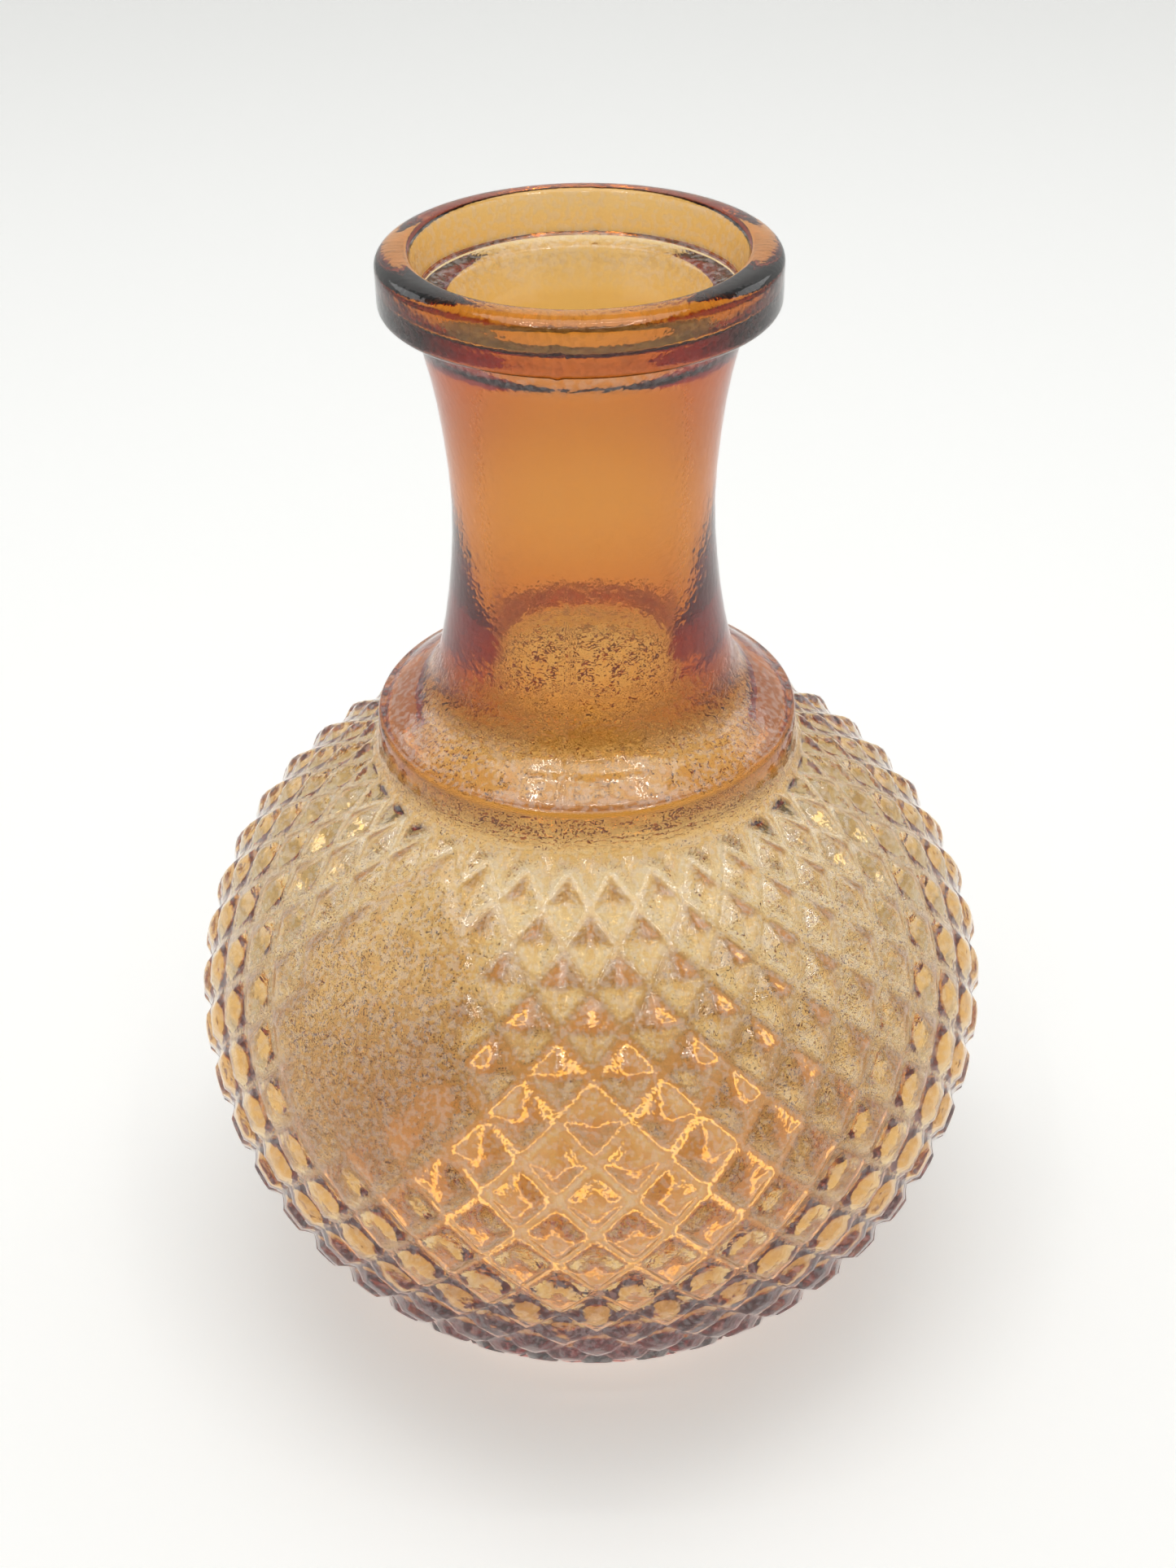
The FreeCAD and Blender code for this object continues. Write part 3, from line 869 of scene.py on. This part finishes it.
def soft_room():
    """White walls all round, a dim ceiling, and a dark opening in front for the camera."""
    world = bpy.data.worlds.new("light_tent")
    world.use_nodes = True
    bpy.context.scene.world = world
    tree = world.node_tree
    tree.nodes.clear()
    sums = Sums(tree)
    direction = node(tree, "ShaderNodeTexCoord").outputs["Generated"]
    toward = Vector((0.0, -1.0, 0.75)).normalized()
    front = node(
        tree, "ShaderNodeVectorMath", {0: direction, 1: toward}, operation="DOT_PRODUCT"
    ).outputs["Value"]
    opening = sums.smooth(front, math.cos(OPENING_EDGE), math.cos(OPENING_FULL))
    rise = node(tree, "ShaderNodeSeparateXYZ", {"Vector": direction}).outputs["Z"]
    walls = sums("SUBTRACT", 1.0, sums.smooth(rise, math.sin(WALL_FULL), math.sin(WALL_GONE)))
    strength = sums("ADD", CEILING, sums("MULTIPLY", walls, WALLS))
    dimmed = sums("SUBTRACT", 1.0, sums("MULTIPLY", opening, OPENING_DIMMING))
    strength = sums("MULTIPLY", strength, dimmed)
    light = node(
        tree, "ShaderNodeBackground",
        {"Color": hex_colour("FBFDFC"), "Strength": strength},
    )  # fmt: skip
    node(tree, "ShaderNodeOutputWorld", {"Surface": light.outputs[0]})


def softbox(name, place, aim, width, height, radiance):
    """A flat rectangular lamp that faces a point."""
    lamp = bpy.data.lights.new(name, "AREA")
    lamp.shape = "RECTANGLE"
    lamp.size, lamp.size_y = width, height
    lamp.energy = radiance * math.pi * width * height
    box = bpy.data.objects.new(name, lamp)
    box.location = place
    box.rotation_euler = (Vector(aim) - Vector(place)).to_track_quat("-Z", "Y").to_euler()
    bpy.context.scene.collection.objects.link(box)


def light_frame(place, aim, width, height, tube, radiance):
    """Four light tubes in a rectangle round the camera's side of the tent, facing a point."""
    facing = (Vector(aim) - Vector(place)).to_track_quat("-Z", "Y")
    for name, x, y, long_x, long_y in (
        ("upper_tube", 0.0, height / 2, width, tube),
        ("lower_tube", 0.0, -height / 2, width, tube),
        ("left_tube", -width / 2, 0.0, tube, height),
        ("right_tube", width / 2, 0.0, tube, height),
    ):
        tube_place = Vector(place) + facing @ Vector((x, y, 0.0))
        tube_aim = tube_place + facing @ Vector((0.0, 0.0, -1.0))
        softbox(name, tube_place, tube_aim, long_x, long_y, radiance)


def stage_camera(look):
    """The camera, in front of the vase and over it, looking down."""
    lens = bpy.data.cameras.new("camera")
    lens.sensor_fit = "VERTICAL"
    lens.sensor_height = 24.0
    lens.lens = look.focal_heights * lens.sensor_height
    lens.clip_start, lens.clip_end = 0.01, 20.0
    camera = bpy.data.objects.new("camera", lens)
    camera.location = (0.0, -look.distance, look.height)
    tilt = Vector((0.0, math.cos(look.pitch), -math.sin(look.pitch)))
    turn = tilt.to_track_quat("-Z", "Y").to_matrix().to_4x4()
    camera.rotation_euler = turn.to_euler()
    camera.rotation_euler.rotate_axis("Z", look.roll)
    bpy.context.scene.collection.objects.link(camera)
    bpy.context.scene.camera = camera


class VASE_OT_stage(bpy.types.Operator):
    """Lays the floor, hangs the lights and places the camera"""

    bl_idname = "vase.stage"
    bl_label = "Set the stage"

    def execute(self, context):
        look = context.scene.vase_stage
        paper_stage(look)
        soft_room()
        across, behind, over = SIDE_BOX_PLACE
        for name, side in (("left_softbox", -1), ("right_softbox", 1)):
            place = (side * across, behind, over)
            softbox(name, place, VASE_MIDDLE, SIDE_BOX_SIZE, SIDE_BOX_SIZE, SIDE_BOX_RADIANCE)
        light_frame(FRAME_PLACE, VASE_MIDDLE, *FRAME_SIZE, TUBE_WIDTH, TUBE_RADIANCE)
        softbox("top_softbox", TOP_BOX_PLACE, VASE_MIDDLE, *TOP_BOX_SIZE, TOP_BOX_RADIANCE)
        stage_camera(look)
        context.scene.view_settings.view_transform = "Standard"
        paths = context.scene.cycles
        paths.max_bounces = LIGHT_BOUNCES
        paths.transmission_bounces = paths.glossy_bounces = LIGHT_BOUNCES
        return {"FINISHED"}


class VASE_PT_panel(bpy.types.Panel):
    """Lists the vase's steps and sizes"""

    bl_idname = "VASE_PT_panel"
    bl_label = "Bud vase"
    bl_space_type = "VIEW_3D"
    bl_region_type = "UI"
    bl_category = "Bud vase"

    def draw(self, context):
        layout = self.layout
        for group in GROUPS:
            settings = getattr(context.scene, group)
            box = layout.box()
            for name in settings.__annotations__:
                box.prop(settings, name)
        layout.operator(VASE_OT_press.bl_idname)
        layout.operator(VASE_OT_stage.bl_idname)


GROUPS = {
    "vase_form": VaseForm,
    "vase_diamonds": VaseDiamonds,
    "vase_glass": VaseGlass,
    "vase_stage": VaseStage,
}
CLASSES = (*GROUPS.values(), VASE_OT_press, VASE_OT_stage, VASE_PT_panel)


def register():
    for cls in CLASSES:
        bpy.utils.register_class(cls)
    for name, group in GROUPS.items():
        setattr(bpy.types.Scene, name, bpy.props.PointerProperty(type=group))


def unregister():
    for name in GROUPS:
        delattr(bpy.types.Scene, name)
    for cls in reversed(CLASSES):
        bpy.utils.unregister_class(cls)


def main():
    register()
    bpy.ops.vase.press()
    bpy.ops.vase.stage()


if __name__ == "__main__":
    main()
